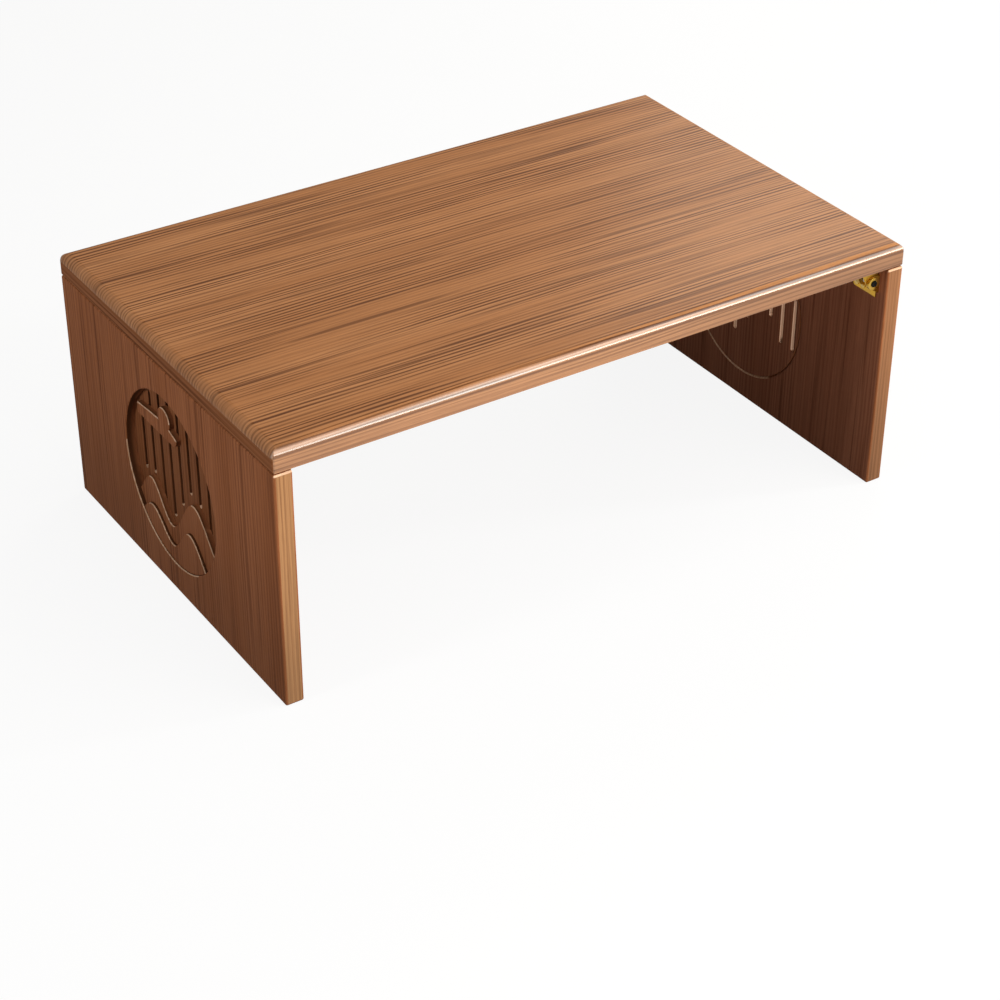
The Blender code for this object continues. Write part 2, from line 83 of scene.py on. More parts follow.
# Edges of the boards
TOP_ROUNDOVER = 12 * MM
TOP_ROUNDOVER_STEPS = 12
TOP_CORNER_ROUND = 3 * MM
TOP_CORNER_SOFT = 1 * MM
TOP_LOWER_ROUND = 1 * MM
FRONT_BAND_RISE = 4 * MM
LEG_ROUND = 2.5 * MM
HOLE_SIDES = 128
HOLE_OUTER_ROUND = 1.2 * MM
HOLE_INNER_ROUND = 2.6 * MM
HOLE_MARGIN = 3 * MM
# A rounding gets a pale painted highlight where it leans this far and looks this nearly one way, front
# and up
HIGHLIGHT_WAY = Vector((0.5, 0.86))
HIGHLIGHT_LEAN = 0.1
HIGHLIGHT_NEARNESS = 0.5
# How far a leg's top rounding must face front or back to take the pale painted highlight
LEG_CORNER_FACING = 0.35

# Carving, measured from the disc's centre: u to the front, h up; the waves' points in millimetres
RECESS_DEPTH = 12.5 * MM
BACK_RELIEF_DEPTH = 5.5 * MM
FRONT_RELIEF_DEPTH = 1.5 * MM
RELIEF_ROOT = 1 * MM
RELIEF_ROUND = 1.0 * MM
BACK_WAVE = ((-116, -72), (-66, -29), (-16, -72), (50, -9), (118, -66))
FRONT_WAVE = ((-112, -98), (-60, -65), (-8, -95), (40, -54), (104, -106))
WAVE_POINTS = 72
HALVINGS = 40
SLOT_WIDTH = 6.5 * MM
SLOT_PITCH = 24.5 * MM
SLOT_SHIFT = 7 * MM
SLOT_RIM = 2.5 * MM
SLOT_END_LEAD = 10 * MM
SLOT_END_RISE = 7 * MM
SLOT_SIDES = 24
SLOT_MARGIN = 1.4 * MM
SLOT_ROUND = 0.6 * MM
# How far a slot's foot and its rounded lip must face up to take a pale painted glint
SLOT_FOOT_FACING = 0.5
SLOT_LIP_FACING = 0.4
SEAM_ROUND = 0.7 * MM
CLOUD_BASE = 53 * MM
CLOUD_TAIL = 15.3 * MM
CLOUD_BACK = -88 * MM
CLOUD_PUFF = (-16.3 * MM, 79 * MM)
CLOUD_PUFF_RADIUS = 15.6 * MM
CLOUD_PUFF_START = math.radians(-31)
CLOUD_PUFF_STOP = math.radians(200)
CLOUD_PUFF_STEPS = 28
CLOUD_TIP = (3 * MM, 64.5 * MM)
CLOUD_TIP_RADIUS = 12.5 * MM
CLOUD_TIP_STEPS = 8

# Hinges
SHEET = 1.6 * MM
LOBE_RADIUS = 8.6 * MM
LOBE_STEPS = 24
BEND_RADIUS = 1.9 * MM
BEND_RELIEF = 3 * MM
WING_CORNER = 3 * MM
WING_STEPS = 6
CHEEK_SPACING = {"leg": 18.3 * MM, "top": 14.5 * MM}
CHEEK_ROOT = {"leg": (-16 * MM, 8.6 * MM), "top": (-8.6 * MM, 20 * MM)}
PIVOT_HOLE = 5.9 * MM
PIVOT_HOLE_SIDES = 32
SCREW_HOLE = 2.0 * MM
SCREW_HOLE_SIDES = 16
PLATE_EDGE_ROUND = 0.25 * MM
BUSH_TUBE_RADIUS = 5.6 * MM
BUSH_BORE = {"outer": 4.5 * MM, "inner": 2.8 * MM}
FLANGE = 1.5 * MM
BUTTON_RADIUS = 4.2 * MM
BUTTON_DISH = 1.2 * MM
BUTTON_DISH_FLOOR = 0.7 * BUTTON_RADIUS
BUTTON_DISH_MOUTH = 0.8 * BUTTON_RADIUS
COLLAR_BACK = 7.1 * MM
COLLAR_THICKNESS = 2.5 * MM
COLLAR_RADIUS = 7.4 * MM
STEM_RADIUS = 2.5 * MM
TURNED_SIDES = 48
TURNED_ROUND = 0.25 * MM
SPRING_WIRE = 0.45 * MM
SPRING_WIRE_SIDES = 12
SPRING_TURNS = 4
SPRING_STEPS = 28
SCREW_HEAD_HEIGHT = 2.2 * MM
SCREW_HEAD_RIM = 0.9 * MM
SCREW_HEAD_RADIUS = 3.6 * MM
SCREW_SHANK = 1.7 * MM
SCREW_LENGTH = 14 * MM
SCREW_TIP = 3 * MM
SCREW_SIDES = 32
SCREW_DOME_STEPS = 8
SCREW_TURN = math.radians(25)
CROSS_ARM = 2.1 * MM
CROSS_HALF = 0.45 * MM
CROSS_DEPTH = 1.1 * MM

# Finishes and light
# The colour sockets of a Mix node, whose names repeat
MIX_A, MIX_B, MIX_RESULT = 6, 7, 2
COAT_IOR = 2.0
EDGE_COAT_ROUGHNESS = 0.09
FLAT_COAT_ROUGHNESS = 0.3
LOW_SPECULAR = 0.005
GRAIN_PERIOD = 6.2 * MM
GRAIN_SWAY = 14 * MM
GRAIN_CROWDING = 12 * MM
# Painted shade on the top's rounded edges, where the tone is darkest
ROUNDING_SHADE = 0.82
END_GRAIN_CONTRAST = 0.6
END_POLISH = 0.16
# Painted shade: the legs' woods darken down towards the floor
PAINTED_FLOOR_SHADE = (Z, 0.28, 0.0, 0.68)
FLOOR_HALF = 6
FLOOR_DROP = 0.5 * MM
FLOOR_WHITE = 0.89
ROOM_LIGHT = 0.12
WARM = (1.0, 0.96, 0.86)
CREAM = (1.0, 0.975, 0.93)

# Camera: the photo's view
CAMERA_SENSOR = 36
CAMERA_PLACE = (-1.4471, -2.2396, 1.7384)
CAMERA_HEADING = math.radians(33.330)
CAMERA_PITCH = math.radians(33.504)
CAMERA_ROLL = math.radians(0.30)
CAMERA_LENS = 86.48


def close(a, b):
    return abs(a - b) < TINY


def edges_where(bm, test):
    return [edge for edge in bm.edges if all(test(vert.co) for vert in edge.verts)]


def sharp_edges(bm):
    return [edge for edge in bm.edges if edge.is_manifold and edge.calc_face_angle() > SHARP]


def verts_of(geom):
    return [item for item in geom if isinstance(item, bmesh.types.BMVert)]


def edges_of(geom):
    return [item for item in geom if isinstance(item, bmesh.types.BMEdge)]


def round_edges(bm, edges, radius, segments):
    made = bmesh.ops.bevel(
        bm, geom=edges, offset=radius, segments=segments, profile=0.5, affect="EDGES",
        material=-1, clamp_overlap=False,
    )
    return made["faces"]


def block(low, high):
    bm = bmesh.new()
    bmesh.ops.create_cube(bm, size=1)
    bmesh.ops.scale(bm, vec=high - low, verts=bm.verts)
    bmesh.ops.translate(bm, vec=(low + high) / 2, verts=bm.verts)
    return bm


def push(bm, faces, along):
    """Give a flat sheet of faces a thickness along a vector."""
    grown = bmesh.ops.extrude_face_region(bm, geom=faces)["geom"]
    bmesh.ops.translate(bm, vec=along, verts=verts_of(grown))


def arc(centre, radius, start, stop, steps):
    """Points on an arc from one angle to another, both ends included."""
    points = []
    for step in range(steps + 1):
        angle = start + (stop - start) * step / steps
        points.append((centre[0] + radius * math.cos(angle), centre[1] + radius * math.sin(angle)))
    return points


def loop(bm, points):
    """A closed loop of edges through the points."""
    verts = [bm.verts.new(point) for point in points]
    return [bm.edges.new((verts[i - 1], verts[i])) for i in range(len(verts))]


def edged_circle(bm, lay, radius, outer_radius, sides):
    """A narrow ring of faces between two circles; gives the edges of the first and the second."""
    made = bmesh.ops.create_circle(bm, radius=radius, segments=sides, matrix=lay)["verts"]
    rim = list({edge for vert in made for edge in vert.link_edges})
    grown = bmesh.ops.extrude_edge_only(bm, edges=rim)["geom"]
    factor = outer_radius / radius
    bmesh.ops.scale(
        bm, vec=(factor, factor, factor), verts=verts_of(grown),
        space=Matrix.Translation(-lay.translation),
    )
    return rim, edges_of(grown)


def joined(parts):
    """Several shapes in one mesh."""
    bm = bmesh.new()
    for part in parts:
        mesh = bpy.data.meshes.new("part")
        part.to_mesh(mesh)
        part.free()
        bm.from_mesh(mesh)
        bpy.data.meshes.remove(mesh)
    return bm


def piece(name, bm, finishes, body, node, closed=True):
    """Make a shape a piece that moves with its body and stands for its node."""
    bmesh.ops.remove_doubles(bm, verts=bm.verts, dist=TINY / 10)
    bmesh.ops.recalc_face_normals(bm, faces=bm.faces)
    mesh = bpy.data.meshes.new(name)
    bm.to_mesh(mesh)
    bm.free()
    mesh.shade_smooth()
    mesh.set_sharp_from_angle(angle=CREASE)
    for finish in finishes:
        mesh.materials.append(finish)
    made = bpy.data.objects.new(name, mesh)
    bpy.context.scene.collection.objects.link(made)
    if not closed:
        thicken(made)
    even = made.modifiers.new("even_shading", "WEIGHTED_NORMAL")
    even.keep_sharp = True
    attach(made, body)
    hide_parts(node)
    return made


def thicken(sheet_piece):
    """Make a bent sheet as thick as its metal, with its cut edges broken."""
    wall = sheet_piece.modifiers.new("sheet_thickness", "SOLIDIFY")
    wall.thickness = SHEET
    wall.offset = 0
    wall.use_even_offset = True
    broken = sheet_piece.modifiers.new("broken_edges", "BEVEL")
    broken.width = PLATE_EDGE_ROUND
    broken.segments = 2
    broken.limit_method = "ANGLE"
    broken.angle_limit = SHARP


# Boards


def roundover(bm, face, half_x, half_y, spring_z):
    """Carry a board's upper face up and in over a quarter round that keeps soft mitred corners."""
    inset = 0
    corner = TOP_CORNER_ROUND
    for step in range(1, TOP_ROUNDOVER_STEPS + 1):
        angle = math.pi / 2 * step / TOP_ROUNDOVER_STEPS
        grown = bmesh.ops.extrude_face_region(bm, geom=[face])["geom"]
        face = next(item for item in grown if isinstance(item, bmesh.types.BMFace))
        new_inset = TOP_ROUNDOVER * (1 - math.cos(angle))
        new_corner = max(TOP_CORNER_ROUND - new_inset, TOP_CORNER_SOFT)
        for vert in face.verts:
            side = Vector((math.copysign(1, vert.co.x), math.copysign(1, vert.co.y)))
            old_centre = side * Vector((half_x - inset - corner, half_y - inset - corner))
            way = (vert.co.xy - old_centre) / corner
            reach = Vector((half_x - new_inset - new_corner, half_y - new_inset - new_corner))
            place = side * reach + way * new_corner
            vert.co = (place.x, place.y, spring_z + TOP_ROUNDOVER * math.sin(angle))
        inset, corner = new_inset, new_corner


def make_table_top(finishes):
    low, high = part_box("top_board")
    spring_z = high.z - TOP_ROUNDOVER
    bm = block(low, Vector((high.x, high.y, spring_z)))
    uprights = [edge for edge in bm.edges if not close(edge.verts[0].co.z, edge.verts[1].co.z)]
    round_edges(bm, uprights, TOP_CORNER_ROUND, segments=6)
    bm.normal_update()
    upper = max(bm.faces, key=lambda face: face.calc_center_median().z)
    roundover(bm, upper, high.x, high.y, spring_z)
    foot = edges_where(bm, lambda co: close(co.z, low.z))
    round_edges(bm, foot, TOP_LOWER_ROUND, segments=2)
    bm.normal_update()
    for face in bm.faces:
        endwise = abs(face.normal.x) > abs(face.normal.y)
        band_z = spring_z if endwise else spring_z + FRONT_BAND_RISE
        if face.calc_center_median().z < band_z and abs(face.normal.z) < FACING:
            face.material_index = TOP_END if endwise else TOP_FRONT
        elif abs(face.normal.z) > LEVEL:
            face.material_index = TOP_FLAT
        else:
            face.material_index = TOP_EDGE
    piece("table_top", bm, finishes, "top", "top_board")


def upright(x, y, z):
    """Lays a flat circle up on a leg's face, facing along X."""
    return Matrix.Translation((x, y, z)) @ Matrix.Rotation(math.pi / 2, 4, "Y")


class LegPlace:
    """One leg: its panel's box, and the carved disc's centre, radius and faces."""

    def __init__(self, side):
        self.side = side
        self.out = SIGN[side]
        self.low, self.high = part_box(f"{side}_leg_panel")
        disc_low, disc_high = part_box(f"{side}_carved_disc")
        self.face_x = self.out * max(abs(self.low.x), abs(self.high.x))
        self.back_x = self.out * min(abs(self.low.x), abs(self.high.x))
        self.disc_z = (disc_low.z + disc_high.z) / 2
        self.disc_radius = (disc_high.z - disc_low.z) / 2

    def deep(self, depth):
        """The X of a plane that lies this deep under the leg's outer face."""
        return self.face_x - self.out * depth

    def spot(self, x, u, h):
        return (x, -u, self.disc_z + h)


def takes_painted_highlight(face):
    """Whether an edge's rounding faces up and to the front, where it gets a pale painted highlight."""
    face.normal_update()
    way = Vector((-face.normal.y, face.normal.z))
    return way.length > HIGHLIGHT_LEAN and way.normalized().dot(HIGHLIGHT_WAY) > HIGHLIGHT_NEARNESS


def make_leg_board(place, finishes):
    """A board with rounded edges and a round hole through its two faces."""
    low, high = place.low, place.high
    hole_radius = place.disc_radius + CLEARANCE
    bm = block(low, high)
    round_edges(bm, bm.edges[:], LEG_ROUND, segments=4)
    hole = []
    for x in (place.face_x, place.back_x):
        face = next(face for face in bm.faces if close(face.calc_center_median().x, x))
        outline = list(face.edges)
        bmesh.ops.delete(bm, geom=[face], context="FACES_ONLY")
        lay = upright(x, 0, place.disc_z)
        inner, ring = edged_circle(bm, lay, hole_radius, hole_radius + HOLE_MARGIN, HOLE_SIDES)
        bmesh.ops.triangle_fill(bm, edges=outline + ring, use_beauty=True)
        hole += inner
    # The hole's wall takes the dark painted-shade wall finish
    for face in bmesh.ops.bridge_loops(bm, edges=hole)["faces"]:
        face.material_index = LEG_WALL
    bmesh.ops.recalc_face_normals(bm, faces=bm.faces)

    def on_hole(co):
        return abs(math.hypot(co.y, co.z - place.disc_z) - hole_radius) < TINY

    for x, radius in ((place.face_x, HOLE_OUTER_ROUND), (place.back_x, HOLE_INNER_ROUND)):
        rim = edges_where(bm, lambda co: on_hole(co) and close(co.x, x))
        # Up- and front-facing roundings of the hole's rims take a pale painted highlight
        for face in round_edges(bm, rim, radius, segments=3):
            face.material_index = LEG_HIGHLIGHT if takes_painted_highlight(face) else LEG_OUTER
    bm.normal_update()
    for face in bm.faces:
        middle = face.calc_center_median()
        if face.normal.x * place.out < -FACING and face.material_index == LEG_OUTER:
            face.material_index = LEG_INNER
        elif close(abs(middle.y), high.y) and abs(face.normal.y) > FACING:
            face.material_index = LEG_EDGE
        # A leg's top rounding that faces front or back takes a pale painted highlight
        elif middle.z > high.z - LEG_ROUND and abs(face.normal.y) > LEG_CORNER_FACING:
            face.material_index = LEG_HIGHLIGHT
    name = f"{place.side}_leg"
    piece(f"{name}_board", bm, finishes, name, f"{name}_panel")


# Carved discs


def wave_height(crests, u):
    """Height of a wave line that swings between its crests and troughs, given in millimetres."""
    for (u0, h0), (u1, h1) in zip(crests, crests[1:]):
        if u0 * MM <= u <= u1 * MM:
            ease = (1 - math.cos(math.pi * (u / MM - u0) / (u1 - u0))) / 2
            return (h0 + (h1 - h0) * ease) * MM
    return (crests[0][1] if u < crests[0][0] * MM else crests[-1][1]) * MM


def rim_crossing(crests, outside_u, radius):
    """Where a wave line leaves the disc on the side of outside_u."""
    inside_u = 0
    for _ in range(HALVINGS):
        middle = (inside_u + outside_u) / 2
        if math.hypot(middle, wave_height(crests, middle)) < radius:
            inside_u = middle
        else:
            outside_u = middle
    return inside_u


def wave_outline(crests, radius):
    """A wave line across the disc, closed along the lower edge of the disc."""
    back = rim_crossing(crests, -radius, radius)
    front = rim_crossing(crests, radius, radius)
    line = []
    for step in range(WAVE_POINTS + 1):
        u = back + (front - back) * step / WAVE_POINTS
        line.append((u, wave_height(crests, u)))
    start = math.atan2(line[-1][1], line[-1][0])
    stop = math.atan2(line[0][1], line[0][0])
    return line + arc((0, 0), radius, start, stop, WAVE_POINTS)[1:-1]


def cloud_outline():
    """A flat-based cloud: a long tail to the back, one round puff, a rounded tip to the front."""
    foot = -math.asin((CLOUD_TIP[1] - CLOUD_BASE) / CLOUD_TIP_RADIUS)
    tip = arc(CLOUD_TIP, CLOUD_TIP_RADIUS, foot, 0, CLOUD_TIP_STEPS)
    puff = arc(
        CLOUD_PUFF, CLOUD_PUFF_RADIUS, CLOUD_PUFF_START, CLOUD_PUFF_STOP, CLOUD_PUFF_STEPS,
    )
    tail = [(CLOUD_BACK, CLOUD_BASE + CLOUD_TAIL), (CLOUD_BACK, CLOUD_BASE)]
    return tip + puff + tail


def relief(place, outline, depth):
    """A carved form that stands up from the recess's floor, with a rounded upper edge."""
    root_x = place.deep(RECESS_DEPTH + RELIEF_ROOT)
    top_x = place.deep(depth)
    bm = bmesh.new()
    face = bm.faces.new([bm.verts.new(place.spot(root_x, u, h)) for u, h in outline])
    push(bm, [face], (top_x - root_x, 0, 0))
    bmesh.ops.recalc_face_normals(bm, faces=bm.faces)
    # The carving's sides take the dark painted-shade wall finish
    for face in bm.faces:
        face.material_index = DISC_OUTER if abs(face.normal.x) > FACING else DISC_WALL
    upper = edges_where(bm, lambda co: close(co.x, top_x))
    # Up- and front-facing roundings of the carving's edge take a pale painted highlight
    for face in round_edges(bm, upper, RELIEF_ROUND, segments=3):
        face.material_index = DISC_HIGHLIGHT if takes_painted_highlight(face) else DISC_OUTER
    return bm


def slot_places(radius):
    """Slots at one pitch, as far to each side as leaves the rim whole."""
    reach = radius - SLOT_RIM - SLOT_WIDTH
    first = math.ceil((-reach - SLOT_SHIFT) / SLOT_PITCH)
    last = math.floor((reach - SLOT_SHIFT) / SLOT_PITCH)
    return [SLOT_SHIFT + number * SLOT_PITCH for number in range(first, last + 1)]


def slot_ring(bm, place, u):
    """A narrow ring of faces round one upright slot with round ends; gives its outer edges."""
    half = SLOT_WIDTH / 2
    reach = place.disc_radius - SLOT_RIM
    rim = math.sqrt(reach ** 2 - (abs(u) + half) ** 2)
    wave = wave_height(BACK_WAVE, u + SLOT_END_LEAD) + SLOT_END_RISE
    low = max(wave, -rim) + half
    high = rim - half
    lay = upright(*place.spot(place.back_x, u, low))
    lay = lay @ Matrix.Rotation(math.pi / SLOT_SIDES, 4, "Z")
    corner_radius = half / math.cos(math.pi / SLOT_SIDES)
    inner, ring = edged_circle(bm, lay, corner_radius, corner_radius + SLOT_MARGIN, SLOT_SIDES)
    verts = {vert for edge in inner + ring for vert in edge.verts}
    upper = [vert for vert in verts if vert.co.z > place.disc_z + low]
    bmesh.ops.translate(bm, vec=(0, 0, high - low), verts=upper)
    return ring


def slotted_field(place):
    """The recess's floor: a round board with slots cut through it."""
    bm = bmesh.new()
    lay = upright(place.back_x, 0, place.disc_z)
    radius = place.disc_radius
    _, ring = edged_circle(bm, lay, radius, radius - HOLE_MARGIN, HOLE_SIDES)
    for u in slot_places(radius):
        ring += slot_ring(bm, place, u)
    bmesh.ops.triangle_fill(bm, edges=ring, use_beauty=True)
    floor_x = place.deep(RECESS_DEPTH)
    push(bm, bm.faces[:], (floor_x - place.back_x, 0, 0))

    def on_rim(co):
        return abs(math.hypot(co.y, co.z - place.disc_z) - radius) < TINY

    flat = [edge for edge in sharp_edges(bm) if close(edge.verts[0].co.x, edge.verts[1].co.x)]
    seam = [edge for edge in flat if all(on_rim(vert.co) for vert in edge.verts)]
    slots = [edge for edge in flat if edge not in seam]
    # The slots' walls are split at half depth for their painted light and shade
    middle_x = (floor_x + place.back_x) / 2
    bmesh.ops.bisect_plane(
        bm, geom=bm.verts[:] + bm.edges[:] + bm.faces[:], dist=TINY / 10,
        plane_co=(middle_x, 0, 0), plane_no=(1, 0, 0),
    )
    bm.normal_update()
    # Slot walls: the inner half painted pale as lit, the outer half painted dark as shade
    for face in bm.faces:
        inwards = place.out * (face.calc_center_median().x - middle_x) < 0
        if abs(face.normal.x) > FACING:
            face.material_index = DISC_INNER if inwards else DISC_FIELD
        # Up-facing slot feet take a pale painted glint
        elif face.normal.z > SLOT_FOOT_FACING:
            face.material_index = DISC_HIGHLIGHT
        elif not all(on_rim(vert.co) for vert in face.verts):
            face.material_index = DISC_SLOT if inwards else DISC_MOUTH
    # Up-facing slot lips take a pale painted glint
    for face in round_edges(bm, slots, SLOT_ROUND, segments=2):
        face.normal_update()
        face.material_index = DISC_HIGHLIGHT if face.normal.z > SLOT_LIP_FACING else DISC_FIELD
    seam = [edge for edge in seam if edge.is_valid and close(edge.verts[0].co.x, place.back_x)]
    for face in round_edges(bm, seam, SEAM_ROUND, segments=2):
        face.material_index = DISC_FIELD
    return bm


def make_carved_disc(place, finishes):
    radius = place.disc_radius
    parts = [
        slotted_field(place),
        relief(place, wave_outline(BACK_WAVE, radius), BACK_RELIEF_DEPTH),
        relief(place, cloud_outline(), BACK_RELIEF_DEPTH),
        relief(place, wave_outline(FRONT_WAVE, radius), FRONT_RELIEF_DEPTH),
    ]
    name = f"{place.side}_carved_disc"
    piece(f"{name}_relief", joined(parts), finishes, f"{place.side}_leg", name)


# Hinges


class HingePlace:
    """One hinge, with its pivot line and its own directions."""

    def __init__(self, side, end):
        self.name = f"{side}_{end}"
        self.leg_body = f"{side}_leg"
        self.button_body = f"{self.name}_button"
        joint = next(joint for joint in frame["joints"] if joint["name"] == f"{side}_leg_fold")
        self.pivot = Vector(joint["pos_m"])
        self.out = SIGN[side]
        self.end = SIGN[end]
        self.edge_y = self.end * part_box("top_board")[1].y

    def point(self, e, v, z):
        return Vector((self.pivot.x + self.out * e, self.edge_y - self.end * v, self.pivot.z + z))

    def span(self, node):
        """A node's box in the hinge's own directions: lowest and highest e, v and z."""
        low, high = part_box(f"{self.name}_{node}")
        e = sorted((self.out * (low.x - self.pivot.x), self.out * (high.x - self.pivot.x)))
        v = sorted((self.end * (self.edge_y - low.y), self.end * (self.edge_y - high.y)))
        return tuple(zip(e, v, (low.z - self.pivot.z, high.z - self.pivot.z)))

    def along_pivot(self, start):
        """Lays a turned shape on the pivot line, starting at v = start."""
        inwards = Vector((0, -self.end, 0))
        turn = Vector((0, 0, 1)).rotation_difference(inwards).to_matrix().to_4x4()
        return Matrix.Translation(self.point(0, start, 0)) @ turn


def cheek_outline(pivot_p, root):
    """A cheek from its root on the plate to its round lobe, as (p, r) points."""
    sides = []
    for r, turn in ((root[1], -1), (root[0], 1)):
        away = Vector((-pivot_p, r))
        touch = math.acos(LOBE_RADIUS / away.length)
        sides.append(math.atan2(away.y, away.x) + turn * touch)
    start, stop = sides
    if stop > start:
        stop -= math.tau
    lobe = arc((pivot_p, 0), LOBE_RADIUS, start, stop, LOBE_STEPS)
    return [(0, root[0]), (0, root[1])] + lobe


def plate_outline(bend_q, end_q, root, reach):
    """A leaf's flat plate with a tab at the bend and rounded wing corners, as (q, r) points."""
    front_q = bend_q + BEND_RELIEF
    far = end_q - WING_CORNER
    upper = arc((far, reach[1] - WING_CORNER), WING_CORNER, math.pi / 2, 0, WING_STEPS)
    lower = arc((far, reach[0] + WING_CORNER), WING_CORNER, 0, -math.pi / 2, WING_STEPS)
    tab = [(front_q, root[0]), (bend_q, root[0]), (bend_q, root[1]), (front_q, root[1])]
    return [(front_q, reach[0])] + tab + [(front_q, reach[1])] + upper + lower


def make_leaf(hinge, kind, steel):
    """A stamped leaf: a screwed-on plate, one cheek bent up from it and one set on it."""
    (low_e, low_v, low_z), (high_e, high_v, high_z) = hinge.span(f"{kind}_leaf")
    root = CHEEK_ROOT[kind]
    screws = [hinge.span(f"{kind}_screw_{number}") for number in SCREW_NUMBERS]
    if kind == "leg":
        plane = high_e - SHEET / 2
        reach = (low_z, high_z)
        bend_q = low_v + SHEET / 2
        holes = [((low[V] + high[V]) / 2, (low[Z] + high[Z]) / 2) for low, high in screws]
    else:
        plane = high_z - SHEET / 2
        reach = (-high_e, -low_e)
        bend_q = low_v + SHEET / 2 + SHEET + CLEARANCE
        holes = [((low[V] + high[V]) / 2, -(low[E] + high[E]) / 2) for low, high in screws]

    def spot(p, q, r):
        return hinge.point(plane - p, q, r) if kind == "leg" else hinge.point(-r, q, plane - p)

    bm = bmesh.new()
    outline = plate_outline(bend_q, high_v, root, reach)
    edges = loop(bm, [spot(0, q, r) for q, r in outline])
    for centre in holes:
        rim = arc(centre, SCREW_HOLE, 0, math.tau, SCREW_HOLE_SIDES)[:-1]
        edges += loop(bm, [spot(0, q, r) for q, r in rim])
    bmesh.ops.triangle_fill(bm, edges=edges, use_beauty=True)
    for q in (bend_q, bend_q + CHEEK_SPACING[kind]):
        edges = loop(bm, [spot(p, q, r) for p, r in cheek_outline(plane, root)])
        bore = arc((plane, 0), PIVOT_HOLE, 0, math.tau, PIVOT_HOLE_SIDES)[:-1]
        edges += loop(bm, [spot(p, q, r) for p, r in bore])
        bmesh.ops.triangle_fill(bm, edges=edges, use_beauty=True)
    bmesh.ops.remove_doubles(bm, verts=bm.verts, dist=TINY)
    bend_ends = [spot(0, bend_q, r) for r in root]
    bend = edges_where(bm, lambda co: min((co - end).length for end in bend_ends) < TINY)
    round_edges(bm, bend, BEND_RADIUS, segments=5)
    body = hinge.leg_body if kind == "leg" else "top"
    node = f"{hinge.name}_{kind}_leaf"
    piece(f"{node}_plate", bm, (steel,), body, node, closed=False)


def turned(profile, lay, sides=TURNED_SIDES, closed=False):
    """Turn a profile of (radius, along) points round +Z, then lay it in place."""
    bm = bmesh.new()
    verts = [bm.verts.new((radius, 0, along)) for radius, along in profile]
    edges = [bm.edges.new(pair) for pair in zip(verts, verts[1:])]
    if closed:
        edges.append(bm.edges.new((verts[-1], verts[0])))
    bmesh.ops.spin(
        bm, geom=verts + edges, cent=(0, 0, 0), axis=(0, 0, 1), angle=math.tau, steps=sides,
        use_merge=True,
    )
    bmesh.ops.remove_doubles(bm, verts=bm.verts, dist=TINY / 10)
    bmesh.ops.recalc_face_normals(bm, faces=bm.faces)
    bmesh.ops.transform(bm, matrix=lay, verts=bm.verts)
    return bm


def make_bush(hinge, which, steel):
    """A flanged tube that the cheeks turn on."""
    node = f"{which}_bush"
    low, high = hinge.span(node)
    bore = BUSH_BORE[which]
    flange_radius = high[Z]
    length = high[V] - low[V]
    profile = [
        (bore, 0), (flange_radius, 0), (flange_radius, FLANGE), (BUSH_TUBE_RADIUS, FLANGE),
        (BUSH_TUBE_RADIUS, length), (bore, length),
    ]
    if which == "inner":
        profile = [(radius, length - along) for radius, along in profile]
    bm = turned(profile, hinge.along_pivot(low[V]), closed=True)
    round_edges(bm, sharp_edges(bm), TURNED_ROUND, segments=2)
    name = f"{hinge.name}_{node}"
    piece(f"{name}_ring", bm, (steel,), hinge.leg_body, name)


def make_button(hinge, steel):
    """The lock button: a dished face, a collar and the long stem that is the hinge's pin."""
    low, high = hinge.span("lock_button")
    length = high[V] - low[V]
    collar_end = COLLAR_BACK + COLLAR_THICKNESS
    profile = [
        (0, BUTTON_DISH), (BUTTON_DISH_FLOOR, BUTTON_DISH), (BUTTON_DISH_MOUTH, 0),
        (BUTTON_RADIUS, 0), (BUTTON_RADIUS, COLLAR_BACK), (COLLAR_RADIUS, COLLAR_BACK),
        (COLLAR_RADIUS, collar_end), (STEM_RADIUS, collar_end), (STEM_RADIUS, length), (0, length),
    ]
    bm = turned(profile, hinge.along_pivot(low[V]))
    round_edges(bm, sharp_edges(bm), TURNED_ROUND, segments=2)
    name = f"{hinge.name}_lock_button"
    piece(f"{name}_pin", bm, (steel,), hinge.button_body, name)


def make_spring(hinge, steel):
    """A coil of round wire."""
    low, high = hinge.span("button_spring")
    length = high[V] - low[V]
    coil = high[E] - SPRING_WIRE
    steps = SPRING_TURNS * SPRING_STEPS
    rise = length - 2 * SPRING_WIRE
    bm = bmesh.new()
    lay = Matrix.Translation((coil, 0, SPRING_WIRE)) @ Matrix.Rotation(math.pi / 2, 4, "X")
    wire = bmesh.ops.create_circle(
        bm, radius=SPRING_WIRE, segments=SPRING_WIRE_SIDES, matrix=lay,
    )["verts"]
    rim = list({edge for vert in wire for edge in vert.link_edges})
    bmesh.ops.spin(
        bm, geom=wire + rim, cent=(0, 0, 0), axis=(0, 0, 1), angle=math.tau * SPRING_TURNS,
        steps=steps, dvec=(0, 0, rise / steps),
    )
    bmesh.ops.holes_fill(bm, edges=[edge for edge in bm.edges if edge.is_boundary], sides=0)
    bmesh.ops.transform(bm, matrix=hinge.along_pivot(low[V]), verts=bm.verts)
    name = f"{hinge.name}_button_spring"
    coiled = piece(f"{name}_coil", bm, (steel,), hinge.leg_body, name)
    hinge.point(0, high[V], 0)
    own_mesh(coiled)


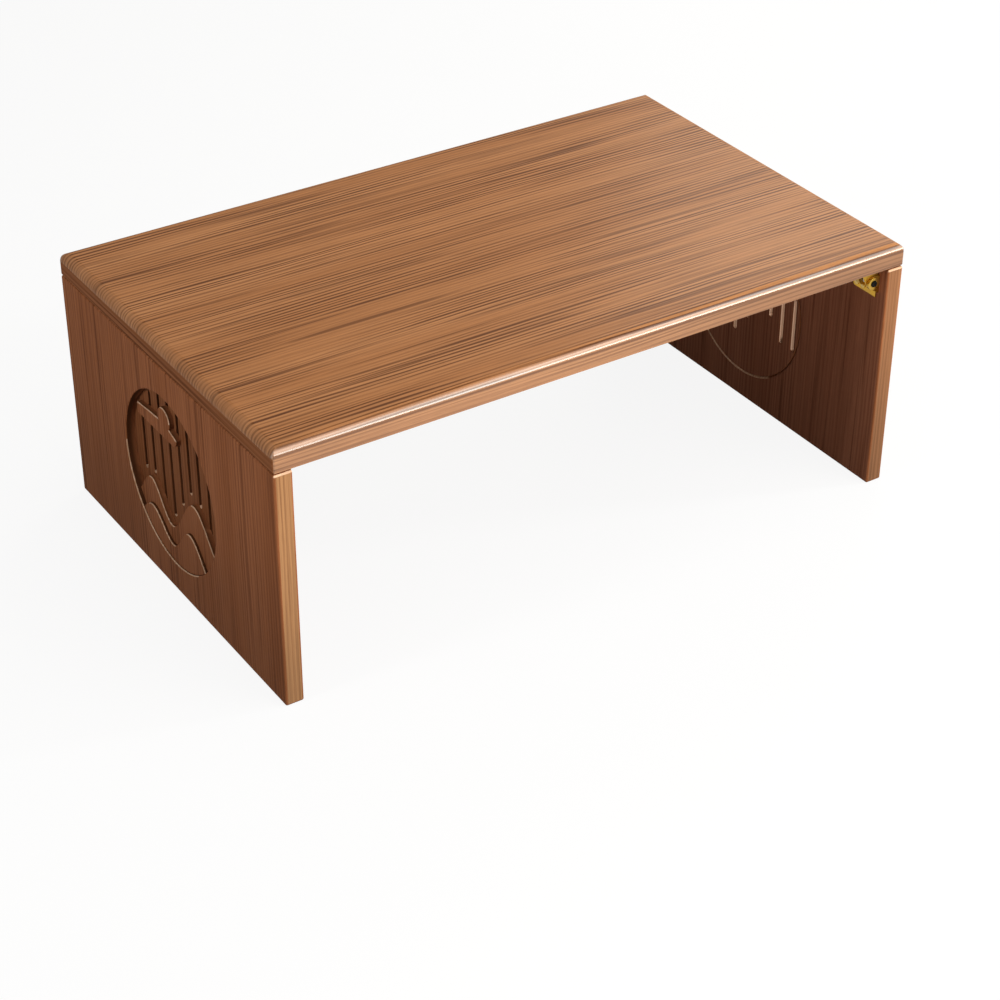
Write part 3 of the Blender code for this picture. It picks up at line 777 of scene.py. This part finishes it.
def screw_shape():
    """A pan-head screw with a cross recess, driven along +Z from its seat."""
    dome = arc((0, -SCREW_HEAD_RIM), 1, -math.pi / 2, 0, SCREW_DOME_STEPS)
    rise = SCREW_HEAD_HEIGHT - SCREW_HEAD_RIM
    head = [(x * SCREW_HEAD_RADIUS, -SCREW_HEAD_RIM + (z + SCREW_HEAD_RIM) * rise) for x, z in dome]
    shank = [
        (SCREW_HEAD_RADIUS, 0), (SCREW_SHANK, 0), (SCREW_SHANK, SCREW_LENGTH - SCREW_TIP),
        (0, SCREW_LENGTH),
    ]
    bm = turned(head + shank, Matrix.Identity(4), SCREW_SIDES)
    for axis in (Vector((1, 0, 0)), Vector((0, 1, 0))):
        for reach in (-CROSS_ARM, -CROSS_HALF, CROSS_HALF, CROSS_ARM):
            bmesh.ops.bisect_plane(
                bm, geom=bm.verts[:] + bm.edges[:] + bm.faces[:], dist=TINY / 10,
                plane_co=axis * reach, plane_no=axis,
            )
    recess = []
    for face in bm.faces:
        middle = face.calc_center_median()
        near, far = sorted((abs(middle.x), abs(middle.y)))
        if middle.z < -SCREW_HEAD_RIM and near < CROSS_HALF and far < CROSS_ARM:
            recess.append(face)
    push(bm, recess, (0, 0, CROSS_DEPTH))
    return bm


def make_screws(hinge, shape, steel):
    for kind, body in (("top", "top"), ("leg", hinge.leg_body)):
        drive = Vector((0, 0, 1)) if kind == "top" else Vector((hinge.out, 0, 0))
        turn = Vector((0, 0, 1)).rotation_difference(drive).to_matrix().to_4x4()
        for number in SCREW_NUMBERS:
            node = f"{hinge.name}_{kind}_screw_{number}"
            low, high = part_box(node)
            length = abs((high - low).dot(drive))
            seat = (low + high) / 2 + drive * (SCREW_HEAD_HEIGHT - length / 2)
            tightened = Matrix.Rotation(SCREW_TURN * number, 4, "Z")
            bm = shape.copy()
            bmesh.ops.transform(
                bm, matrix=Matrix.Translation(seat) @ turn @ tightened, verts=bm.verts,
            )
            piece(f"{node}_driven", bm, (steel,), body, node)


# Finishes


class Finish:
    """A material built up from patterns on the piece's own coordinates."""

    def __init__(self, name):
        self.material = bpy.data.materials.new(name)
        self.material.use_nodes = True
        self.tree = self.material.node_tree
        self.shader = self.tree.nodes["Principled BSDF"]
        self.place = self.node("ShaderNodeTexCoord").outputs["Object"]

    def node(self, kind, inputs=None, **settings):
        made = self.tree.nodes.new(kind)
        for name, value in settings.items():
            setattr(made, name, value)
        for socket, value in (inputs or {}).items():
            self.feed(made.inputs[socket], value)
        return made

    def feed(self, socket, value):
        if isinstance(value, bpy.types.NodeSocket):
            self.tree.links.new(value, socket)
        else:
            socket.default_value = value

    def set(self, **values):
        for name, value in values.items():
            self.feed(self.shader.inputs[name.replace("_", " ").title()], value)

    def math(self, operation, a, b=0.0):
        return self.node("ShaderNodeMath", {0: a, 1: b}, operation=operation).outputs[0]

    def noise(self, vector, stretch, detail=3.0, roughness=0.55):
        laid = self.node("ShaderNodeVectorMath", {0: vector, 1: stretch}, operation="MULTIPLY")
        inputs = {
            "Vector": laid.outputs[0], "Scale": 1.0, "Detail": detail, "Roughness": roughness,
        }
        return self.node("ShaderNodeTexNoise", inputs).outputs["Fac"]

    def spread(self, value, low, high, to_low=0.0, to_high=1.0):
        """A soft step from one value to another between two marks."""
        inputs = {
            "Value": value, "From Min": low, "From Max": high, "To Min": to_low, "To Max": to_high,
        }
        return self.node("ShaderNodeMapRange", inputs, interpolation_type="SMOOTHSTEP").outputs[0]

    def mix(self, share, a, b, blend="MIX"):
        made = self.node("ShaderNodeMix", data_type="RGBA", blend_type=blend)
        self.feed(made.inputs["Factor"], share)
        self.feed(made.inputs[MIX_A], a)
        self.feed(made.inputs[MIX_B], b)
        return made.outputs[MIX_RESULT]

    def bump(self, height, strength, distance):
        inputs = {"Height": height, "Strength": strength, "Distance": distance}
        self.feed(self.shader.inputs["Normal"], self.node("ShaderNodeBump", inputs).outputs[0])


def rgb(red, green, blue):
    return (red, green, blue, 1.0)


class WoodTone:
    """The colours of one stained wood, from its palest to its darkest lines."""

    def __init__(self, pale, brown, streak):
        self.pale = rgb(*pale)
        self.brown = rgb(*brown)
        self.streak = rgb(*streak)


def growth(finish, along, across, depth, even):
    """The pattern of a sawn board: its slow bands, dark lines, fibres and pores."""
    board = finish.node("ShaderNodeCombineXYZ", {X: along, Y: across, Z: depth}).outputs[0]
    sway = finish.noise(board, (1.1, 3.0, 3.0), detail=1.0)
    sway = finish.math("MULTIPLY", finish.math("SUBTRACT", sway, 0.5), GRAIN_SWAY)
    swayed = finish.math("ADD", across, sway)
    board = finish.node("ShaderNodeCombineXYZ", {X: along, Y: swayed, Z: depth}).outputs[0]

    bands = finish.noise(board, (0.7, 17.0, 3.0), detail=3.0)
    thinning = finish.noise(board, (2.6, 34.0, 6.0), detail=2.0)
    crowd = finish.noise(board, (2.2, 70.0, 5.0), detail=2.0)
    veins = finish.noise(board, (2.4, 170.0, 8.0), detail=1.5)
    fibres = finish.noise(board, (14.0, 1100.0, 60.0), detail=2.0, roughness=0.6)
    pores = finish.noise(board, (40.0, 1700.0, 80.0), detail=1.0)

    row = finish.math("ADD", swayed, finish.math("MULTIPLY", crowd, GRAIN_CROWDING))
    lines = finish.math("SINE", finish.math("MULTIPLY", row, math.tau / GRAIN_PERIOD))
    lines = finish.spread(lines, -0.5, 1.0, 0.0, even)
    lines = finish.math("MULTIPLY", lines, finish.spread(thinning, 0.34, 0.62, 0.25, 1.0))
    dark = finish.math("MAXIMUM", lines, finish.spread(veins, 0.56, 0.72, 0.0, 0.75))
    return bands, dark, fibres, pores


def polished_edges(finish, axes, polished):
    """On a board's rounded edges: the painted shade, the contrast of the grain and the share of
    polish.
    """
    edge_x, edge_y, spring_z = polished
    reach = finish.math("ABSOLUTE", axes[Y])
    shade = finish.spread(
        reach, edge_y - 0.8 * TOP_ROUNDOVER, edge_y - 0.3 * TOP_ROUNDOVER, 1.0, ROUNDING_SHADE,
    )
    front = finish.spread(reach, edge_y - 0.6 * TOP_ROUNDOVER, edge_y - 0.15 * TOP_ROUNDOVER)
    above = finish.spread(axes[Z], spring_z + 1 * MM, spring_z + 3 * MM)
    ends = finish.math("ABSOLUTE", axes[X])
    ends = finish.spread(ends, edge_x - TOP_ROUNDOVER, edge_x - 0.5 * TOP_ROUNDOVER)
    contrast = finish.spread(ends, 0.0, 1.0, 1.0, END_GRAIN_CONTRAST)
    polish = finish.math("MULTIPLY", front, above)
    polish = finish.math("MAXIMUM", polish, finish.math("MULTIPLY", ends, END_POLISH))
    return shade, contrast, polish


def wood(
    name, axes_order, tone, shift, coat=0.0, coat_roughness=EDGE_COAT_ROUGHNESS,
    specular=LOW_SPECULAR, even=0.95, line=None, painted_shade=None, polished=None,
):
    """Stained and lacquered wood: slow bands, even growth lines, veins, fibres and pores.

    The axes run along the grain, across it and into the board, and the shift slides the grain along.
    A line is a dark joint: where it lies across the grain, half its width and its strength.
    The fade is painted shade along an axis: where the tone is full, where it is darkest, and the share
    of it left there.
    Polished edges are given by the X and Y of the board's edges and the Z where their rounding starts.
    """
    finish = Finish(name)
    axes = finish.node("ShaderNodeSeparateXYZ", {0: finish.place}).outputs
    grain, across, depth = (axes[number] for number in axes_order)
    along = finish.math("ADD", grain, shift)
    bands, dark, fibres, pores = growth(finish, along, across, depth, even)
    light = finish.spread(fibres, 0.3, 0.7, 0.88, 1.12)
    # Painted shade: the tone darkens along an axis
    if painted_shade is not None:
        axis, full, darkest, left_share = painted_shade
        low, high = sorted(((full, 1.0), (darkest, left_share)))
        fall = finish.spread(axes[axis], low[0], high[0], low[1], high[1])
        light = finish.math("MULTIPLY", light, fall)
    if polished is not None:
        shade, contrast, polish = polished_edges(finish, axes, polished)
        # Painted shade on the rounding
        light = finish.math("MULTIPLY", light, shade)
        dark = finish.math("MULTIPLY", dark, contrast)
        coat = finish.spread(polish, 0.0, 1.0, coat, 1.0)
    colour = finish.mix(finish.spread(bands, 0.30, 0.70), tone.brown, tone.pale)
    colour = finish.mix(dark, colour, tone.streak)
    colour = finish.mix(1.0, colour, light, "MULTIPLY")
    colour = finish.mix(finish.spread(pores, 0.60, 0.74, 0.0, 0.3), colour, tone.streak)
    if line is not None:
        where, half_width, strength = line
        off = finish.math("SUBTRACT", finish.math("ABSOLUTE", across), where)
        off = finish.math("ABSOLUTE", off)
        colour = finish.mix(finish.spread(off, 0.0, half_width, strength, 0.0), colour, tone.streak)
    finish.set(base_color=colour, roughness=finish.spread(fibres, 0.3, 0.7, 0.40, 0.52))
    finish.set(coat_weight=coat, coat_roughness=coat_roughness)
    finish.shader.inputs["Coat IOR"].default_value = COAT_IOR
    finish.shader.inputs["Specular IOR Level"].default_value = specular
    hollow = finish.math("MULTIPLY", dark, 0.4)
    raised = finish.math("SUBTRACT", finish.math("MULTIPLY", fibres, 0.5), hollow)
    finish.bump(raised, 0.12, 0.4 * MM)
    return finish.material


def carved_wall(name, top_tone, foot_tone, face_x):
    """The side of a carved form, painted as shade: dark under its edge, and paler down where it meets
    the floor.
    """
    finish = Finish(name)
    axes = finish.node("ShaderNodeSeparateXYZ", {0: finish.place}).outputs
    out = finish.math("ABSOLUTE", axes[X])
    grain = finish.noise(finish.place, (300.0, 300.0, 6.0), detail=2.0)
    top = finish.mix(grain, top_tone.brown, top_tone.pale)
    foot = finish.mix(grain, foot_tone.brown, foot_tone.pale)
    # The painted shade lifts towards the recess's floor
    rise = finish.spread(out, face_x - RECESS_DEPTH, face_x - RECESS_DEPTH / 3)
    finish.set(base_color=finish.mix(rise, foot, top))
    finish.set(roughness=finish.spread(grain, 0.3, 0.7, 0.5, 0.65))
    finish.shader.inputs["Specular IOR Level"].default_value = LOW_SPECULAR
    finish.bump(grain, 0.1, 0.3 * MM)
    return finish.material


def plated_steel(name, gold, warm, roughness):
    """Yellow zinc plating: a warm metal that drifts in tone, with fine rolling marks."""
    finish = Finish(name)
    drift = finish.noise(finish.place, (70.0, 70.0, 70.0), detail=3.0)
    rolled = finish.noise(finish.place, (300.0, 2600.0, 900.0), detail=2.0)
    colour = finish.mix(finish.spread(drift, 0.3, 0.7), gold, warm)
    colour = finish.mix(1.0, colour, finish.spread(rolled, 0.25, 0.75, 0.9, 1.06), "MULTIPLY")
    finish.set(base_color=colour, metallic=1.0)
    finish.set(roughness=finish.spread(drift, 0.3, 0.7, roughness, roughness + 0.14))
    finish.bump(rolled, 0.10, 0.2 * MM)
    return finish.material


def plain_steel(name, colour, darker, roughness):
    """Turned or drawn steel with fine marks and a slight bloom."""
    finish = Finish(name)
    bloom = finish.noise(finish.place, (160.0, 160.0, 160.0), detail=3.0)
    marks = finish.noise(finish.place, (400.0, 4200.0, 400.0), detail=2.0)
    colour = finish.mix(finish.spread(bloom, 0.3, 0.7), colour, darker)
    finish.set(base_color=colour, metallic=1.0)
    finish.set(roughness=finish.spread(marks, 0.3, 0.7, roughness, roughness + 0.15))
    finish.bump(marks, 0.08, 0.2 * MM)
    return finish.material


# Room


def softbox(name, place, aim, size, watts, colour=(1.0, 1.0, 1.0)):
    """A flat lamp of a width and a height that looks at a point."""
    lamp = bpy.data.lights.new(name, "AREA")
    lamp.color = colour
    lamp.shape = "RECTANGLE"
    lamp.size, lamp.size_y = size
    lamp.energy = watts
    made = bpy.data.objects.new(name, lamp)
    made.location = place
    made.rotation_euler = (Vector(aim) - Vector(place)).to_track_quat("-Z", "Y").to_euler()
    bpy.context.scene.collection.objects.link(made)


def seen_directly(tree):
    """1 for camera, mirror and see-through rays, 0 for the light that falls on things."""
    rays = tree.nodes.new("ShaderNodeLightPath").outputs
    total = rays["Is Camera Ray"]
    for name in ("Is Glossy Ray", "Is Transmission Ray"):
        both = tree.nodes.new("ShaderNodeMath")
        both.operation = "MAXIMUM"
        tree.links.new(total, both.inputs[0])
        tree.links.new(rays[name], both.inputs[1])
        total = both.outputs[0]
    return total


def make_room():
    world = bpy.data.worlds.new("studio")
    bpy.context.scene.world = world
    world.use_nodes = True
    tree = world.node_tree
    room = tree.nodes["Background"]
    room.inputs["Color"].default_value = rgb(1.0, 0.98, 0.96)
    strength = tree.nodes.new("ShaderNodeMapRange")
    tree.links.new(seen_directly(tree), strength.inputs["Value"])
    strength.inputs["To Min"].default_value = ROOM_LIGHT
    strength.inputs["To Max"].default_value = 1.0
    tree.links.new(strength.outputs[0], room.inputs["Strength"])

    bm = bmesh.new()
    bmesh.ops.create_grid(bm, x_segments=4, y_segments=4, size=FLOOR_HALF)
    mesh = bpy.data.meshes.new("floor")
    bm.to_mesh(mesh)
    bm.free()
    floor = bpy.data.objects.new("floor", mesh)
    floor.location.z = -FLOOR_DROP
    bpy.context.scene.collection.objects.link(floor)
    mesh.materials.append(floor_finish())


def floor_finish():
    """A pale floor that keeps a soft shadow, shows white, and can be seen through from below."""
    finish = Finish("pale_floor")
    grain = finish.noise(finish.place, (9.0, 9.0, 9.0), detail=2.0)
    pale = finish.mix(grain, rgb(0.90, 0.90, 0.90), rgb(0.94, 0.94, 0.94))
    direct = seen_directly(finish.tree)
    finish.set(base_color=finish.mix(direct, rgb(0.21, 0.20, 0.21), pale))
    finish.set(roughness=0.9)
    finish.shader.inputs["Specular IOR Level"].default_value = 0.0
    white = finish.node("ShaderNodeEmission", {"Color": rgb(1, 1, 1), "Strength": 1.0})
    clear = finish.node("ShaderNodeBsdfTransparent")
    under = finish.node("ShaderNodeNewGeometry").outputs["Backfacing"]
    share = finish.math("MULTIPLY", direct, FLOOR_WHITE)
    shaded = finish.shader.outputs[0]
    lit = finish.node("ShaderNodeMixShader", {0: share, 1: shaded, 2: white.outputs[0]})
    whole = finish.node("ShaderNodeMixShader", {0: under, 1: lit.outputs[0], 2: clear.outputs[0]})
    output = finish.tree.nodes["Material Output"]
    finish.feed(output.inputs["Surface"], whole.outputs[0])
    return finish.material


def make_lights():
    middle = (0.0, 0.0, 0.3)
    front_edge = (0.0, -0.28, 0.34)
    top_right = (0.4, -0.2, 0.35)
    left_leg = (-0.45, 0.0, 0.16)
    right_leg = (0.45, 0.0, 0.16)
    softbox("key_high", (0.30, -1.1, 2.8), middle, (3.2, 3.2), 38, CREAM)
    softbox("front_window", (1.1, -2.6, 0.88), front_edge, (3.4, 0.5), 40, WARM)
    softbox("front_upper", (1.6, -2.2, 2.0), front_edge, (2.4, 1.4), 20, WARM)
    softbox("front_low", (-0.5, -2.8, 0.85), middle, (0.5, 0.5), 19)
    softbox("right_side", (3.0, -1.3, 0.8), right_leg, (0.4, 0.4), 62)
    softbox("left_side", (-3.1, -0.3, 1.45), left_leg, (0.5, 0.5), 27)
    softbox("sheen_back_right", (2.0, 1.42, 1.58), top_right, (1.2, 0.9), 22, WARM)


def make_camera():
    data = bpy.data.cameras.new("photo_view")
    data.sensor_width = CAMERA_SENSOR
    data.lens = CAMERA_LENS
    camera = bpy.data.objects.new("photo_view", data)
    turn = Matrix.Rotation(-CAMERA_HEADING, 4, "Z")
    tilt = Matrix.Rotation(math.pi / 2 - CAMERA_PITCH, 4, "X")
    camera.matrix_world = (
        Matrix.Translation(CAMERA_PLACE) @ turn @ tilt @ Matrix.Rotation(CAMERA_ROLL, 4, "Z")
    )
    bpy.context.scene.collection.objects.link(camera)
    bpy.context.scene.camera = camera


def make_finishes():
    """Every finish of the table, for each kind of piece in the order that its faces take them."""
    stained = WoodTone((0.51, 0.228, 0.090), (0.42, 0.174, 0.062), (0.12, 0.040, 0.012))
    banded = WoodTone((0.52, 0.245, 0.105), (0.43, 0.190, 0.078), (0.13, 0.046, 0.015))
    end_band = WoodTone((0.40, 0.155, 0.064), (0.33, 0.120, 0.046), (0.14, 0.044, 0.015))
    upright_grain = WoodTone((0.45, 0.170, 0.074), (0.38, 0.135, 0.054), (0.15, 0.046, 0.017))
    # A shaded copy of the upright grain, for the inner faces of the legs and discs: painted shade
    # colour
    shaded_grain = WoodTone((0.44, 0.178, 0.096), (0.37, 0.142, 0.074), (0.175, 0.058, 0.027))
    carved = WoodTone((0.36, 0.138, 0.058), (0.28, 0.100, 0.038), (0.15, 0.047, 0.017))
    # Near-black painted shade for the walls under carved edges
    hollow = WoodTone((0.10, 0.037, 0.015), (0.07, 0.025, 0.010), (0.04, 0.013, 0.005))
    # A dark painted shade for the outer half of the slots' walls
    painted_slot_shade = WoodTone((0.17, 0.064, 0.027), (0.13, 0.047, 0.019), (0.07, 0.024, 0.009))
    # A pale tone for painted highlights and glints on edges
    highlight_pale = WoodTone((0.90, 0.60, 0.40), (0.82, 0.52, 0.33), (0.62, 0.35, 0.20))
    # A pale tone for the inner half of the slots' walls, pale as cut wood and as painted light
    painted_slot_light = WoodTone((0.86, 0.60, 0.44), (0.76, 0.50, 0.34), (0.50, 0.27, 0.15))
    # The legs' edge tones differ by side as painted light: the left leg's edges painted lighter, the
    # right's darker
    edges = {
        "left": WoodTone((0.54, 0.272, 0.118), (0.455, 0.221, 0.089), (0.22, 0.092, 0.033)),
        "right": WoodTone((0.38, 0.173, 0.077), (0.315, 0.140, 0.060), (0.153, 0.060, 0.022)),
    }
    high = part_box("top_board")[1]
    leg_low, leg_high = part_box("right_leg_panel")
    leg_middle = (leg_low.x + leg_high.x) / 2
    polished = (high.x, high.y, high.z - TOP_ROUNDOVER)
    top_edge_wood = wood(
        "top_edge_polished", (X, Y, Z), stained, 0.0, coat=0.06, specular=0.02, even=1.0,
        polished=polished,
    )
    flat_wood = wood(
        "top_wood_lacquered", (X, Y, Z), stained, 0.0, coat=0.085,
        coat_roughness=FLAT_COAT_ROUGHNESS, specular=0.02, even=1.0,
    )
    # The front band darkens towards the table's right end: painted shade
    front_wood = wood(
        "front_band_lacquered", (X, Z, Y), banded, 8.3, coat=0.5, even=0.55,
        line=(polished[Z] + 2 * MM, 2.8 * MM, 0.7), painted_shade=(X, -0.15, 0.40, 0.66),
    )
    end_wood = wood("end_band_lacquered", (Y, Z, X), end_band, 3.7)
    outer_wood = wood("leg_outer_wood", (Z, Y, X), upright_grain, 1.3, even=0.5, painted_shade=PAINTED_FLOOR_SHADE)
    inner_wood = wood("leg_inner_wood", (Z, Y, X), shaded_grain, 5.1, even=0.5, painted_shade=PAINTED_FLOOR_SHADE)
    highlight_wood = wood("worn_edge_wood", (Z, Y, X), highlight_pale, 4.4, painted_shade=PAINTED_FLOOR_SHADE)
    shaded_wall_wood = carved_wall("carved_wall_wood", hollow, carved, high.x)
    field_wood = wood("carved_field_wood", (Z, Y, X), carved, 7.3, even=0.5, painted_shade=PAINTED_FLOOR_SHADE)
    slot_light_wood = wood("slot_wall_wood", (Z, X, Y), painted_slot_light, 2.2, painted_shade=PAINTED_FLOOR_SHADE)
    slot_shade_wood = wood("slot_mouth_wood", (Z, X, Y), painted_slot_shade, 6.1, painted_shade=PAINTED_FLOOR_SHADE)
    finishes = {
        "top": (top_edge_wood, end_wood, front_wood, flat_wood),
        "disc": (
            field_wood, outer_wood, slot_light_wood, highlight_wood, shaded_wall_wood, slot_shade_wood, inner_wood,
        ),
        "leaf": plated_steel("hinge_zinc", rgb(0.55, 0.30, 0.025), rgb(0.45, 0.27, 0.05), 0.26),
        "bush": plated_steel("bush_zinc", rgb(0.60, 0.36, 0.05), rgb(0.50, 0.32, 0.08), 0.22),
        "screw": plated_steel("screw_zinc", rgb(0.56, 0.36, 0.08), rgb(0.46, 0.34, 0.14), 0.30),
        "button": plain_steel(
            "button_black", rgb(0.020, 0.019, 0.018), rgb(0.012, 0.012, 0.011), 0.45,
        ),
        "spring": plain_steel("spring_wire", rgb(0.62, 0.62, 0.63), rgb(0.45, 0.45, 0.46), 0.25),
    }
    for side in SIDES:
        edge_wood = wood(
            f"{side}_leg_edge_wood", (Z, X, Y), edges[side], 2.9, coat=0.12, even=0.7,
            line=(leg_middle, 1.1 * MM, 0.6), painted_shade=PAINTED_FLOOR_SHADE,
        )
        finishes[f"{side}_leg"] = (outer_wood, highlight_wood, shaded_wall_wood, edge_wood, inner_wood)
    return finishes


def main():
    finishes = make_finishes()
    make_table_top(finishes["top"])
    shape = screw_shape()
    for side in SIDES:
        place = LegPlace(side)
        make_leg_board(place, finishes[f"{side}_leg"])
        make_carved_disc(place, finishes["disc"])
        for end in ENDS:
            hinge = HingePlace(side, end)
            for kind in ("top", "leg"):
                make_leaf(hinge, kind, finishes["leaf"])
            for which in ("outer", "inner"):
                make_bush(hinge, which, finishes["bush"])
            make_button(hinge, finishes["button"])
            make_spring(hinge, finishes["spring"])
            make_screws(hinge, shape, finishes["screw"])
    shape.free()
    make_room()
    make_lights()
    make_camera()
    bpy.context.scene.view_settings.view_transform = "Standard"


main()
